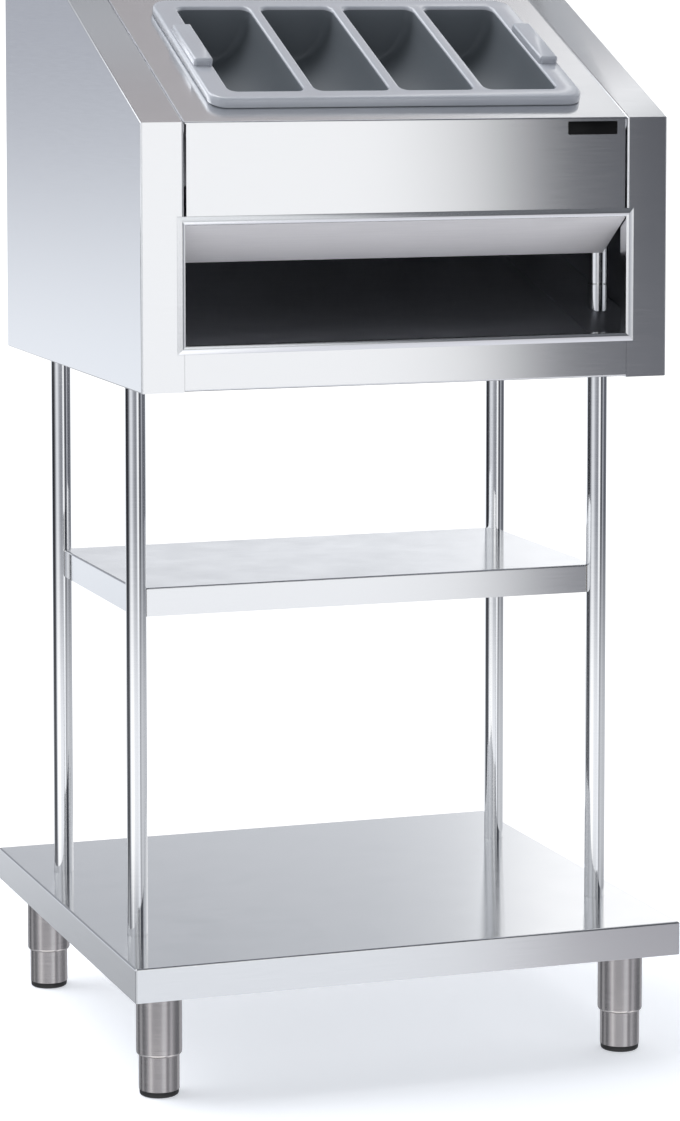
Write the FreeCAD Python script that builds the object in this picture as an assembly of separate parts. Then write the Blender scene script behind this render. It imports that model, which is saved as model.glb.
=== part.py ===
import FreeCAD, Part
import math
import os

# Cutlery and bread dispenser in folded stainless sheet, on a tube stand with a glass shelf and a
# tray shelf. All sizes are in millimetres. The origin is on the floor, under the middle of the
# tray shelf: +X is the customer's right, +Y goes to the back, +Z is up.

# ---- Driving dimensions ----------------------------------------------------------------------

# Sheet and fits
sheet = 1.5                # stainless sheet of every folded panel
inner_bend = 1.0           # inside radius of a fold
seat_gap = 0.3             # left between pieces that seat on each other without welding
running_gap = 0.05         # radial play of a screw, pin or plug in its bore
panel_gap = 1.5            # shadow gap between the deck and the side panels

# Base shelf that carries the trays
base_overhang = 18.0       # by which it stands out past the head's sides
base_depth = 748.0
base_top = 194.0
base_flange = 46.0
base_lip = 15.0
base_rib_inset = 86.0      # from the uprights' axes in to the ribs' middles
base_rib_width = 50.0
base_rib_height = 30.0
rib_flange = 18.0
rib_end_gap = 12.0

# Legs and adjustable feet
leg_side_inset = 55.0      # from the base shelf's side edge to a leg's axis
leg_end_inset = 81.0       # and from its front and back edges
leg_radius = 31.0
leg_wall = 1.5
leg_bottom = 56.0
leg_shoulder = 2.4         # drawn-in end of the leg tube
leg_plate_size = 100.0
leg_plate_thickness = 4.0
sleeve_play = 2.0
throat_play = 0.5
sleeve_wall = 1.5
sleeve_overlap = 42.0      # length of the sleeve inside the leg tube
sleeve_floor = 3.0
glide_height = 8.0
glide_inset = 0.5
glide_edge = 2.0
spindle_radius = 8.0
bush_height = 14.0
bush_clear = 1.5           # left between the bush and a foot screwed right in
foot_rise = 20.0           # the foot screws in by this much
foot_drop = 30.0           # and out by this much

# Uprights
upright_side_inset = 35.5  # from the head's side to an upright's axis
upright_end_inset = 178.0  # and from the base shelf's front and back edges
upright_plate_size = 44.0
upright_plate_thickness = 4.0
tube_radius = 14.0
tube_wall = 1.5
joint_rise = 116.0         # from the head's bottom up to where an upright meets its post
joint_groove = 1.0
connector_reach = 30.0
plug_length = 25.0
bolt_radius = 5.0
bolt_hole_play = 0.5
bolt_end_gap = 2.0         # from a bolt's end to the end of its plug
bolt_head_across = 17.0
bolt_head_height = 6.4
washer_radius = 10.5
washer_thickness = 2.0

# Glass shelf
shelf_rise = 475.0         # from the base shelf up to the glass shelf
shelf_flange = 39.0
shelf_lip = 12.0
shelf_rib_width = 60.0
shelf_rib_height = 24.0

# Head
head_rise = 281.0          # from the glass shelf up to the head's bottom
head_width = 744.0
head_front_setback = 22.0  # from the base shelf's front edge to the head's front
head_back_setback = 5.5    # and from its back edge to the head's back
slope_angle = 23.6
slope_length = 430.0
side_flange = 58.7
side_lip = 22.0
bottom_flange = 20.0
rail_raise = 1.0           # the front rail sits this much above the side panels' lower edge
rail_height = 60.5         # from the head's bottom to the rail's top
rail_return = 22.0
rail_return_drop = 12.0
fascia_gap = 3.3           # shadow gap at each end of the fascia
mouth_height = 159.0       # from the rail up to the fold of the hood
fascia_height = 134.0      # from that fold up to the deck's front edge
hood_depth = 83.4
hood_drop = 57.4
hood_hem = 8.0
joint_fold = 20.0          # folds by which the deck and the top meet
rear_fold = 25.0
ledge_width = 18.0

# Trim round the bread opening
trim_width = 11.0
trim_proud = 4.5
trim_edge = 1.5
trim_inset = 1.3

# Bread floor
bread_floor_rise = 40.0    # its upper face above the head's bottom, at the front of the head
bread_floor_angle = 15.0
bread_floor_fold = 15.0
bread_floor_start = 0.3
swage_gap = 2.3            # from the side panel's flange to the swage
swage_width = 28.0
swage_height = 1.0
floor_ledge = 18.0

# Brackets that join the head to its posts
bracket_length = 50.0
bracket_height = 30.0
bracket_sheet = 3.0
bracket_drop = 14.0

# Bread lid
lid_height = 16.0
lid_side_margin = 48.3
lid_front_margin = 22.0
lid_back_margin = 44.0
lid_overlap = 15.0
hinge_pin_radius = 2.5
hinge_knuckle = 4.5
hinge_clear = 0.5
hinge_end_gap = 40.0
hinge_knuckles = 9
hinge_leaf = 20.0
leaf_height = 10.0
handle_length = 120.0
handle_height = 32.0
handle_rod = 4.0
handle_from_front = 40.0
handle_screw_radius = 2.0
handle_screw_head = 4.0
handle_screw_depth = 8.0

# Cutlery container, to the 530 x 325 catering size
container_length = 530.0
container_width = 325.0
container_start = 38.5     # from the deck's front edge
container_depth = 100.0
container_corner = 28.0
rim_height = 14.0
rim_wall = 4.0
rim_round = 4.0
locating_inset = 15.0      # from the rim's edge to the rib that sits in the deck's cut-out
locating_depth = 20.0
cutout_play = 5.0
divider = 16.0
end_rim = 31.5
side_rim = 26.0
pocket_corner = 10.0
pocket_scoop = 72.0
pocket_wall = 3.0
grip_length = 115.0
grip_width = 24.0
grip_height = 12.0
grip_overhang = 4.0
grip_round = 3.5
grip_slot = 9.0
grip_slot_height = 6.0

# Blank name plate
plate_width = 80.0
plate_height = 16.0
plate_thickness = 1.2
plate_side_gap = 5.5       # from the fascia's end
plate_below = 13.5         # from the deck's front edge to the plate's middle

# Screws of the back panel
screw_radius = 2.0
screw_head = 4.5
screw_head_height = 2.0
screw_margin = 12.0        # from the inner edge of the side panels' back flanges
screw_inset = 22.0

# ---- Places worked out from the sizes --------------------------------------------------------

outer_bend = inner_bend + sheet
shelf_top = base_top + shelf_rise
head_bottom = shelf_top + head_rise
rail_top = head_bottom + rail_height
mouth_top = rail_top + mouth_height
fascia_top = mouth_top + fascia_height
joint_height = head_bottom + joint_rise
head_front = head_front_setback - base_depth / 2
head_back = base_depth / 2 - head_back_setback
head_half = head_width / 2
base_width = head_width + 2 * base_overhang
leg_x = base_width / 2 - leg_side_inset
leg_y = base_depth / 2 - leg_end_inset
upright_x = head_half - upright_side_inset
upright_y = base_depth / 2 - upright_end_inset
sleeve_radius = leg_radius - leg_wall - sleeve_play
slope = math.radians(slope_angle)
slope_run = math.cos(slope)
slope_rise = math.sin(slope)
slope_back = head_front + slope_length * slope_run
head_top = fascia_top + slope_length * slope_rise
inner_face = head_half - sheet            # inside of a side panel's skin
flange_edge = head_half - side_flange     # inner edge of a side panel's front flange
deck_half = flange_edge - panel_gap
fascia_half = flange_edge - fascia_gap
floor_slope = math.radians(bread_floor_angle)
base_under = base_top - sheet
shelf_under = shelf_top - sheet
leg_top = base_under - leg_plate_thickness
base_rib_y = upright_y - base_rib_inset
upright_foot = base_under - upright_plate_thickness    # underside of the plate it stands on
bush_bottom = leg_bottom + sleeve_overlap + foot_rise + bush_clear
container_middle = container_start + container_width / 2
locating_x = container_length / 2 - locating_inset
locating_y = container_width / 2 - locating_inset
locating_corner = container_corner - locating_inset / 2
lid_front = slope_back + lid_front_margin
lid_back = head_back - lid_back_margin
lid_half = flange_edge - lid_side_margin
hinge_half = lid_half - hinge_end_gap
corners = [(sx, sy) for sx in (-1, 1) for sy in (-1, 1)]
side_names = {-1: "left", 1: "right"}
end_names = {-1: "front", 1: "rear"}


def corner_name(sx, sy):
    return end_names[sy] + "_" + side_names[sx]


def bread_floor_height(y):
    """Height of the bread floor's upper face at a depth y."""
    return head_bottom + bread_floor_rise + (y - head_front) * math.tan(floor_slope)


# ---- Shape helpers ---------------------------------------------------------------------------

def box(x0, x1, y0, y1, z0, z1):
    return Part.makeBox(x1 - x0, y1 - y0, z1 - z0, FreeCAD.Vector(x0, y0, z0))


def rod(x, y, z0, z1, radius):
    return Part.makeCylinder(radius, z1 - z0, FreeCAD.Vector(x, y, z0))


def pipe(x, y, z0, z1, radius, bore):
    return rod(x, y, z0, z1, radius).cut(rod(x, y, z0 - 1, z1 + 1, bore))


def rod_x(x0, x1, y, z, radius):
    return Part.makeCylinder(radius, x1 - x0, FreeCAD.Vector(x0, y, z), FreeCAD.Vector(1, 0, 0))


def turned(x, y, outline):
    """Solid of revolution about the vertical axis at (x, y), from (radius, height) points."""
    points = [FreeCAD.Vector(x + r, y, z) for r, z in outline]
    face = Part.Face(Part.makePolygon(points + points[:1]))
    return face.revolve(FreeCAD.Vector(x, y, 0), FreeCAD.Vector(0, 0, 1), 360)


def rounded_face(outline, radii):
    """Face in the YZ plane from (y, z) points, with an arc at each corner that has a radius."""
    points = [FreeCAD.Vector(0, y, z) for y, z in outline]
    edges = []
    entries = []
    exits = []
    middles = []
    for i, corner in enumerate(points):
        back = (points[i - 1] - corner).normalize()
        ahead = (points[(i + 1) % len(points)] - corner).normalize()
        half = back.getAngle(ahead) / 2
        reach = radii[i] / math.tan(half)
        bisector = (back + ahead).normalize()
        entries.append(corner + back * reach)
        exits.append(corner + ahead * reach)
        middles.append(corner + bisector * (radii[i] / math.sin(half) - radii[i]))
    for i in range(len(points)):
        if radii[i] > 0:
            edges.append(Part.Arc(entries[i], middles[i], exits[i]).toShape())
        edges.append(Part.LineSegment(exits[i], entries[(i + 1) % len(points)]).toShape())
    return Part.Face(Part.Wire(edges))


def prism_x(outline, x0, x1, radii=None):
    """Solid between two X planes with a (y, z) outline."""
    face = rounded_face(outline, radii or [0] * len(outline))
    face.translate(FreeCAD.Vector(x0, 0, 0))
    return face.extrude(FreeCAD.Vector(x1 - x0, 0, 0))


def shifted(outline, distance, closed):
    """The outline moved to its left by distance, with mitred corners."""
    count = len(outline)
    result = []
    for i, (y, z) in enumerate(outline):
        normals = []
        if closed or i > 0:
            normals.append(left_normal(outline[i - 1], (y, z)))
        if closed or i < count - 1:
            normals.append(left_normal((y, z), outline[(i + 1) % count]))
        ny = sum(n[0] for n in normals) / len(normals)
        nz = sum(n[1] for n in normals) / len(normals)
        scale = distance / (ny * ny + nz * nz)
        result.append((y + ny * scale, z + nz * scale))
    return result


def left_normal(start, end):
    dy = end[0] - start[0]
    dz = end[1] - start[1]
    length = math.hypot(dy, dz)
    return (-dz / length, dy / length)


def folded(outline, x0, x1):
    """Folded sheet between two X planes. The outline is its outer face, with left turns only."""
    inside = shifted(outline, sheet, False)
    folds = len(outline) - 2
    radii = [0] + [outer_bend] * folds + [0, 0] + [inner_bend] * folds + [0]
    return prism_x(outline + inside[::-1], x0, x1, radii)


def rounded_edges(shape, radius, chosen):
    return shape.makeFillet(radius, [edge for edge in shape.Edges if chosen(edge)])


def at_height(z):
    return lambda edge: all(abs(v.Point.z - z) < 0.001 for v in edge.Vertexes)


def upright_edge(edge):
    ends = [v.Point for v in edge.Vertexes]
    return len(ends) == 2 and abs(ends[0].z - ends[1].z) > 0.001 and (
        math.hypot(ends[0].x - ends[1].x, ends[0].y - ends[1].y) < 0.001)


def block(x_half, y_half, z0, z1, corner):
    """Upright block about the origin, with round corners in plan."""
    return rounded_edges(box(-x_half, x_half, -y_half, y_half, z0, z1), corner, upright_edge)


def joined(pieces):
    shape = pieces[0]
    for piece in pieces[1:]:
        shape = shape.fuse(piece)
    return shape.removeSplitter()


def cut_all(shape, tools):
    for tool in tools:
        shape = shape.cut(tool)
    return shape


def group(pieces):
    return Part.makeCompound(pieces)


def mirrored(shape):
    return shape.mirror(FreeCAD.Vector(0, 0, 0), FreeCAD.Vector(1, 0, 0))


def on_deck(shape, along, up=0.0):
    """Places a shape made flat about the origin on the sloping deck, at a distance up the slope."""
    placed = shape.copy()
    placed.rotate(FreeCAD.Vector(0, 0, 0), FreeCAD.Vector(1, 0, 0), slope_angle)
    y = head_front + along * slope_run - up * slope_rise
    z = fascia_top + along * slope_rise + up * slope_run
    placed.translate(FreeCAD.Vector(0, y, z))
    return placed


def save(name, shape):
    shape.exportStep("parts/" + name + ".step")


# ---- Stand -----------------------------------------------------------------------------------

def make_pan(half_x, half_y, top, flange, lip, corner):
    """Shelf folded from one sheet: flanges down all round and a lip turned in at the bottom."""
    bottom = top - flange
    solid = box(-half_x, half_x, -half_y, half_y, bottom, top)
    if corner:
        solid = rounded_edges(solid, outer_bend, lambda e: upright_edge(e) or at_height(top)(e))
    else:
        solid = rounded_edges(solid, outer_bend, at_height(top))
    inside_x = half_x - sheet
    inside_y = half_y - sheet
    hollow = box(-inside_x, inside_x, -inside_y, inside_y, bottom + sheet, top - sheet)
    lip_x = half_x - lip
    lip_y = half_y - lip
    way_in = box(-lip_x, lip_x, -lip_y, lip_y, bottom - 1, bottom + 2 * sheet)
    return solid.cut(hollow).cut(way_in)


def make_rib(y, under, width, height, half_length):
    """Top-hat rib along X, welded by its flanges to the underside of a shelf."""
    half = width / 2
    outline = [
        (y + half + rib_flange, under),
        (y + half + rib_flange, under - sheet),
        (y + half, under - sheet),
        (y + half, under - height),
        (y - half, under - height),
        (y - half, under - sheet),
        (y - half - rib_flange, under - sheet),
        (y - half - rib_flange, under),
        (y - half + sheet, under),
        (y - half + sheet, under - height + sheet),
        (y + half - sheet, under - height + sheet),
        (y + half - sheet, under),
    ]
    return prism_x(outline, -half_length, half_length)


def make_base_shelf():
    pan = make_pan(base_width / 2, base_depth / 2, base_top, base_flange, base_lip, True)
    holes = [
        rod(sx * upright_x, sy * upright_y, base_under - 1, base_top + 1, tube_radius + seat_gap)
        for sx, sy in corners
    ]
    return cut_all(pan, holes)


def make_glass_shelf():
    pan = make_pan(upright_x, upright_y, shelf_top, shelf_flange, shelf_lip, False)
    notches = [
        rod(sx * upright_x, sy * upright_y, 0, shelf_top + 1, tube_radius + seat_gap)
        for sx, sy in corners
    ]
    return cut_all(pan, notches)


def make_leg(sx, sy):
    bore = leg_radius - leg_wall
    throat = sleeve_radius + throat_play
    return turned(sx * leg_x, sy * leg_y, [
        (bore, leg_top),
        (leg_radius, leg_top),
        (leg_radius, leg_bottom + leg_shoulder),
        (leg_radius - 0.3 * leg_shoulder, leg_bottom + 0.3 * leg_shoulder),
        (leg_radius - leg_shoulder, leg_bottom),
        (throat, leg_bottom),
        (throat, leg_bottom + sheet),
        (bore, leg_bottom + 2 * leg_shoulder),
    ])


def make_bush(sx, sy):
    outside = leg_radius - leg_wall - running_gap
    bore = spindle_radius
    return pipe(sx * leg_x, sy * leg_y, bush_bottom, bush_bottom + bush_height, outside, bore)


def make_leg_plate(sx, sy):
    half = leg_plate_size / 2
    x = sx * leg_x
    y = sy * leg_y
    return box(x - half, x + half, y - half, y + half, leg_top, base_under)


def make_sleeve(sx, sy):
    x = sx * leg_x
    y = sy * leg_y
    wall = pipe(x, y, glide_height, leg_bottom + sleeve_overlap, sleeve_radius,
                sleeve_radius - sleeve_wall)
    floor = rod(x, y, glide_height, glide_height + sleeve_floor, sleeve_radius)
    return joined([wall, floor])


def make_spindle(sx, sy):
    bottom = glide_height + sleeve_floor
    top = bush_bottom + bush_height + foot_drop + bush_clear
    radius = spindle_radius - running_gap
    return rod(sx * leg_x, sy * leg_y, bottom, top, radius)


def make_glide(sx, sy):
    disc = rod(sx * leg_x, sy * leg_y, 0, glide_height, sleeve_radius - glide_inset)
    return rounded_edges(disc, glide_edge, at_height(0))


def make_upright_plate(sx, sy):
    """Plate welded under the base shelf, on which an upright stands."""
    half = upright_plate_size / 2
    x = sx * upright_x
    y = sy * upright_y
    plate = box(x - half, x + half, y - half, y + half, upright_foot, base_under)
    return plate.cut(rod(x, y, upright_foot - 1, base_under + 1, bolt_radius + bolt_hole_play))


def make_upright(sx, sy):
    top = joint_height - joint_groove / 2
    bore = tube_radius - tube_wall
    return pipe(sx * upright_x, sy * upright_y, base_under, top, tube_radius, bore)


def make_base_plug(sx, sy):
    outside = tube_radius - tube_wall - running_gap
    return pipe(sx * upright_x, sy * upright_y, base_under, base_under + plug_length, outside,
                bolt_radius)


def hexagon(x, y, z0, z1, across):
    radius = across / math.sqrt(3)
    turns = [math.radians(60 * i) for i in range(7)]
    points = [FreeCAD.Vector(x + radius * math.cos(a), y + radius * math.sin(a), z0) for a in turns]
    return Part.Face(Part.makePolygon(points)).extrude(FreeCAD.Vector(0, 0, z1 - z0))


def make_base_bolt(sx, sy):
    x = sx * upright_x
    y = sy * upright_y
    seat = upright_foot - washer_thickness
    head = hexagon(x, y, seat - bolt_head_height, seat, bolt_head_across)
    shank = rod(x, y, seat, base_under + plug_length - bolt_end_gap, bolt_radius - running_gap)
    return joined([head, shank])


def make_base_washer(sx, sy):
    return pipe(sx * upright_x, sy * upright_y, upright_foot - washer_thickness, upright_foot,
                washer_radius, bolt_radius + bolt_hole_play)


def make_connector(sx, sy):
    x = sx * upright_x
    y = sy * upright_y
    half_groove = joint_groove / 2
    plug = rod(x, y, joint_height - connector_reach, joint_height + connector_reach,
               tube_radius - tube_wall - running_gap)
    collar = rod(x, y, joint_height - half_groove, joint_height + half_groove,
                 tube_radius - tube_wall / 2)
    return joined([plug, collar])


# ---- Head ------------------------------------------------------------------------------------

# The side view of the head, anticlockwise: its left turns keep the inside on the left.
head_outline = [
    (slope_back, head_top),
    (head_front, fascia_top),
    (head_front, head_bottom),
    (head_back, head_bottom),
    (head_back, head_top),
]


def roof_under(y):
    """Height of the underside of the side panels' sloping and top flanges at a depth y."""
    if y > slope_back:
        return head_top - sheet
    return fascia_top + (y - head_front) * math.tan(slope) - sheet / slope_run


def post_top(sy):
    """Height of a post's top, under the bracket that joins it to the side panel."""
    front_edge = sy * upright_y - bracket_length / 2
    return roof_under(front_edge) - bracket_drop - bracket_sheet


def make_side_panel():
    solid = prism_x(head_outline, flange_edge, head_half)
    solid = rounded_edges(solid, outer_bend, lambda e: all(
        abs(v.Point.x - head_half) < 0.001 for v in e.Vertexes))
    hollow = prism_x(shifted(head_outline, sheet, True), flange_edge - 1, inner_face)
    shell = solid.cut(hollow)
    under_cut = box(flange_edge - 1, head_half - bottom_flange, head_front + side_lip,
                    head_back - sheet, head_bottom - 1, head_bottom + sheet)
    shell = shell.cut(under_cut)
    outer = [head_outline[i] for i in (4, 0, 1, 2)]
    inner = [shifted(head_outline, side_lip, True)[i] for i in (2, 1, 0, 4)]
    lip = prism_x(outer + inner, flange_edge, flange_edge + sheet)
    return cut_all(joined([shell, lip]), back_screw_holes())


def make_front_rail():
    bottom = head_bottom + rail_raise
    half = flange_edge - seat_gap
    outline = [
        (head_front + rail_return, rail_top - rail_return_drop),
        (head_front + rail_return, rail_top),
        (head_front, rail_top),
        (head_front, bottom),
        (head_front + bottom_flange, bottom),
    ]
    return folded(outline, -half, half)


def make_deck():
    """Sloping deck, fascia and bread hood in one sheet, cut out for the container."""
    fold = slope_back - seat_gap / 2
    fold_top = head_top - (slope_back - fold) * math.tan(slope)
    hood_y = head_front + hood_depth
    hood_z = mouth_top - hood_drop
    outline = [
        (fold, fold_top - joint_fold),
        (fold, fold_top),
        (head_front, fascia_top),
        (head_front, mouth_top),
        (hood_y, hood_z),
        (hood_y, hood_z + hood_hem),
    ]
    deck = folded(outline, -deck_half, deck_half)
    trims = [
        box(x0, x1, head_front - 1, head_front + 2 * sheet, mouth_top + trim_edge,
            fascia_top - outer_bend)
        for x0, x1 in ((-deck_half - 1, -fascia_half), (fascia_half, deck_half + 1))
    ]
    opening = block(locating_x + cutout_play, locating_y + cutout_play, -2 * sheet, sheet,
                    locating_corner + cutout_play)
    return cut_all(deck, trims + [on_deck(opening, container_middle)])


def make_top_panel():
    half = flange_edge - seat_gap
    fold = slope_back + seat_gap / 2
    outline = [
        (head_back, head_top - rear_fold),
        (head_back, head_top),
        (fold, head_top),
        (fold, head_top - joint_fold),
    ]
    hole_half = lid_half - lid_overlap
    hole = box(-hole_half, hole_half, lid_front + lid_overlap, lid_back - lid_overlap,
               head_top - 2 * sheet, head_top + 1)
    return folded(outline, -half, half).cut(hole)


def make_deck_ledge():
    """Bent angle inside the right-hand lip, under the deck and the top panel."""
    run = [head_outline[i] for i in (4, 0, 1)]
    high = shifted(run, sheet, False)
    low = shifted(run, side_lip - sheet, False)
    thin = shifted(run, 2 * sheet, False)
    wall = prism_x(high + low[::-1], flange_edge - sheet, flange_edge)
    shelf = prism_x(high + thin[::-1], flange_edge - ledge_width, flange_edge)
    angle = joined([wall, shelf])
    # It stops short of the folds at the fascia, at the joint and at the back.
    clear = 2 * outer_bend
    front_end = box(0, head_half, head_front - 1, head_front + clear, head_bottom, head_top)
    back_end = box(0, head_half, head_back - clear, head_back + 1, head_bottom, head_top)
    joint = box(0, head_half, slope_back - clear, slope_back + clear, head_bottom, head_top)
    return angle.cut(front_end).cut(back_end).cut(joint)


def make_underside():
    half = inner_face - seat_gap
    floor = head_bottom + sheet
    panel = box(-half, half, head_front + side_lip + 2 * seat_gap, head_back - 2 * sheet - seat_gap,
                floor, floor + sheet)
    holes = [
        rod(sx * upright_x, sy * upright_y, floor - 1, floor + sheet + 1, tube_radius + seat_gap)
        for sx, sy in corners
    ]
    return cut_all(panel, holes)


def make_back_panel():
    half = inner_face - seat_gap
    top = head_top - side_lip - seat_gap
    bottom = head_bottom + sheet
    panel = box(-half, half, head_back - 2 * sheet, head_back - sheet, bottom, top)
    return cut_all(panel, back_screw_holes())


def back_screw_places():
    low = head_bottom + screw_inset + sheet
    high = head_top - side_lip - screw_inset
    return [(sx * (flange_edge + screw_margin), z)
            for sx in (-1, 1) for z in (low, (low + high) / 2, high)]


def back_screw_holes():
    return [
        screw_rod(x, z, head_back - 3 * sheet, head_back + sheet, screw_radius + running_gap)
        for x, z in back_screw_places()
    ]


def screw_rod(x, z, y0, y1, radius):
    start = FreeCAD.Vector(x, y0, z)
    return Part.makeCylinder(radius, y1 - y0, start, FreeCAD.Vector(0, 1, 0))


def make_bread_floor():
    """Inclined floor that lets the bread slide to the front, with a swage down each side."""
    half = inner_face - seat_gap
    front = head_front + sheet + bread_floor_start
    back = head_back - 2 * sheet - seat_gap
    thick = sheet / math.cos(floor_slope)
    top_front = bread_floor_height(front)
    outline = [
        (back, bread_floor_height(back)),
        (front, top_front),
        (front, top_front - bread_floor_fold),
        (front + sheet, top_front - bread_floor_fold),
        (front + sheet, bread_floor_height(front + sheet) - thick),
        (back, bread_floor_height(back) - thick),
    ]
    floor = prism_x(outline, -half, half)
    lift = swage_height
    swage = [
        (back, bread_floor_height(back) - thick / 2),
        (back, bread_floor_height(back) + lift),
        (front + rail_return, bread_floor_height(front + rail_return) + lift),
        (front + rail_return, bread_floor_height(front + rail_return) - thick / 2),
    ]
    bands = [
        prism_x(swage, x0, x0 + swage_width)
        for x0 in (swage_gap - flange_edge, flange_edge - swage_gap - swage_width)
    ]
    floor = joined([floor] + bands)
    edge = flange_edge - seat_gap
    deep = head_front + side_lip + seat_gap
    notches = [
        box(x0, x1, head_front, deep, head_bottom, rail_top)
        for x0, x1 in ((-half - 1, -edge), (edge, half + 1))
    ]
    holes = [
        rod(sx * upright_x, sy * upright_y, head_bottom, head_top, tube_radius + seat_gap)
        for sx, sy in corners
    ]
    return cut_all(floor, notches + holes)


def make_floor_ledge():
    """Angle on the right-hand skin that carries the bread floor."""
    front = head_front + side_lip + 2 * seat_gap
    back = head_back - 2 * sheet - seat_gap
    thick = sheet / math.cos(floor_slope)

    def strip(upper, lower):
        return [
            (back, bread_floor_height(back) - upper),
            (front, bread_floor_height(front) - upper),
            (front, bread_floor_height(front) - lower),
            (back, bread_floor_height(back) - lower),
        ]

    shelf = prism_x(strip(thick, 2 * thick), inner_face - floor_ledge, inner_face)
    wall = prism_x(strip(thick, thick + floor_ledge), inner_face - sheet, inner_face)
    return joined([shelf, wall])


def make_trim():
    """Bevelled frame on the front of the head, round the bread opening."""
    inside_x = flange_edge - trim_inset
    low = rail_top
    high = mouth_top
    outer = frame_wire(head_front, inside_x + trim_width, low - trim_width, high + trim_width)
    inner = frame_wire(head_front - trim_proud, inside_x + trim_edge, low - trim_edge,
                       high + trim_edge)
    solid = Part.makeLoft([outer, inner], True, True)
    opening = box(-inside_x, inside_x, head_front - trim_proud - 1, head_front + 1, low, high)
    return solid.cut(opening)


def frame_wire(y, half, low, high):
    points = [(-half, low), (half, low), (half, high), (-half, high), (-half, low)]
    return Part.makePolygon([FreeCAD.Vector(x, y, z) for x, z in points])


def make_name_plate():
    middle = fascia_top - plate_below
    right = fascia_half - plate_side_gap
    return box(right - plate_width, right, head_front - plate_thickness, head_front,
               middle - plate_height / 2, middle + plate_height / 2)


def make_post(sx, sy):
    bottom = joint_height + joint_groove / 2
    bore = tube_radius - tube_wall
    return pipe(sx * upright_x, sy * upright_y, bottom, post_top(sy), tube_radius, bore)


def make_post_plug(sx, sy):
    outside = tube_radius - tube_wall - running_gap
    top = post_top(sy)
    return pipe(sx * upright_x, sy * upright_y, top - plug_length, top, outside, bolt_radius)


def make_bracket(sy):
    """Angle between a right-hand post and the side panel's skin."""
    y = sy * upright_y
    half = bracket_length / 2
    top = post_top(sy) + bracket_sheet
    plate = box(upright_x - tube_radius, inner_face, y - half, y + half, post_top(sy), top)
    wall = box(inner_face - bracket_sheet, inner_face, y - half, y + half, top - bracket_height, top)
    hole = rod(upright_x, y, post_top(sy) - 1, top + 1, bolt_radius + bolt_hole_play)
    return joined([plate, wall]).cut(hole)


def make_post_bolt(sx, sy):
    x = sx * upright_x
    y = sy * upright_y
    seat = post_top(sy) + bracket_sheet
    head = hexagon(x, y, seat, seat + bolt_head_height, bolt_head_across)
    shank = rod(x, y, post_top(sy) - plug_length + bolt_end_gap, seat, bolt_radius - running_gap)
    return joined([head, shank])


def make_back_screws():
    screws = []
    for x, z in back_screw_places():
        shank = screw_rod(x, z, head_back - 2 * sheet, head_back, screw_radius)
        head = screw_rod(x, z, head_back, head_back + screw_head_height, screw_head)
        screws.append(joined([shank, head]))
    return group(screws)


# ---- Bread lid -------------------------------------------------------------------------------

def hinge_axis():
    return lid_back + sheet + hinge_clear + hinge_knuckle, head_top + hinge_knuckle + seat_gap


def knuckle_spans():
    """X spans of the hinge knuckles: even ones are fixed, odd ones turn with the lid."""
    pitch = 2 * hinge_half / hinge_knuckles
    return [(i * pitch - hinge_half + seat_gap, (i + 1) * pitch - hinge_half - seat_gap)
            for i in range(hinge_knuckles)]


def make_lid():
    bottom = head_top + seat_gap
    top = bottom + lid_height
    solid = box(-lid_half, lid_half, lid_front, lid_back, bottom, top)
    solid = rounded_edges(solid, outer_bend, lambda e: upright_edge(e) or at_height(top)(e))
    hollow = box(sheet - lid_half, lid_half - sheet, lid_front + sheet, lid_back - sheet,
                 bottom - 1, top - sheet)
    lid = solid.cut(hollow)
    handle_y = lid_front + handle_from_front
    holes = [
        rod(x, handle_y, top - 2 * sheet, top + 1, handle_screw_radius + running_gap)
        for x in (-handle_length / 2, handle_length / 2)
    ]
    return cut_all(lid, holes)


def make_fixed_leaf():
    y, z = hinge_axis()
    half = hinge_half
    plate_front = y + hinge_knuckle + hinge_clear
    pieces = [box(-half, half, plate_front, plate_front + hinge_leaf, head_top, head_top + sheet)]
    for x0, x1 in knuckle_spans()[0::2]:
        pieces.append(rod_x(x0, x1, y, z, hinge_knuckle))
        pieces.append(box(x0, x1, y, plate_front + sheet, head_top + seat_gap, head_top + sheet))
    leaf = joined(pieces)
    return leaf.cut(rod_x(-half - 1, half + 1, y, z, hinge_pin_radius + running_gap))


def make_lid_leaf():
    y, z = hinge_axis()
    half = hinge_half
    low = z - sheet
    pieces = [box(-half, half, lid_back, lid_back + sheet, low, low + leaf_height)]
    for x0, x1 in knuckle_spans()[1::2]:
        pieces.append(rod_x(x0, x1, y, z, hinge_knuckle))
        pieces.append(box(x0, x1, lid_back, y, z - sheet / 2, z + sheet / 2))
    leaf = joined(pieces)
    return leaf.cut(rod_x(-half - 1, half + 1, y, z, hinge_pin_radius + running_gap))


def make_hinge_pin():
    y, z = hinge_axis()
    return rod_x(-hinge_half, hinge_half, y, z, hinge_pin_radius)


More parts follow.
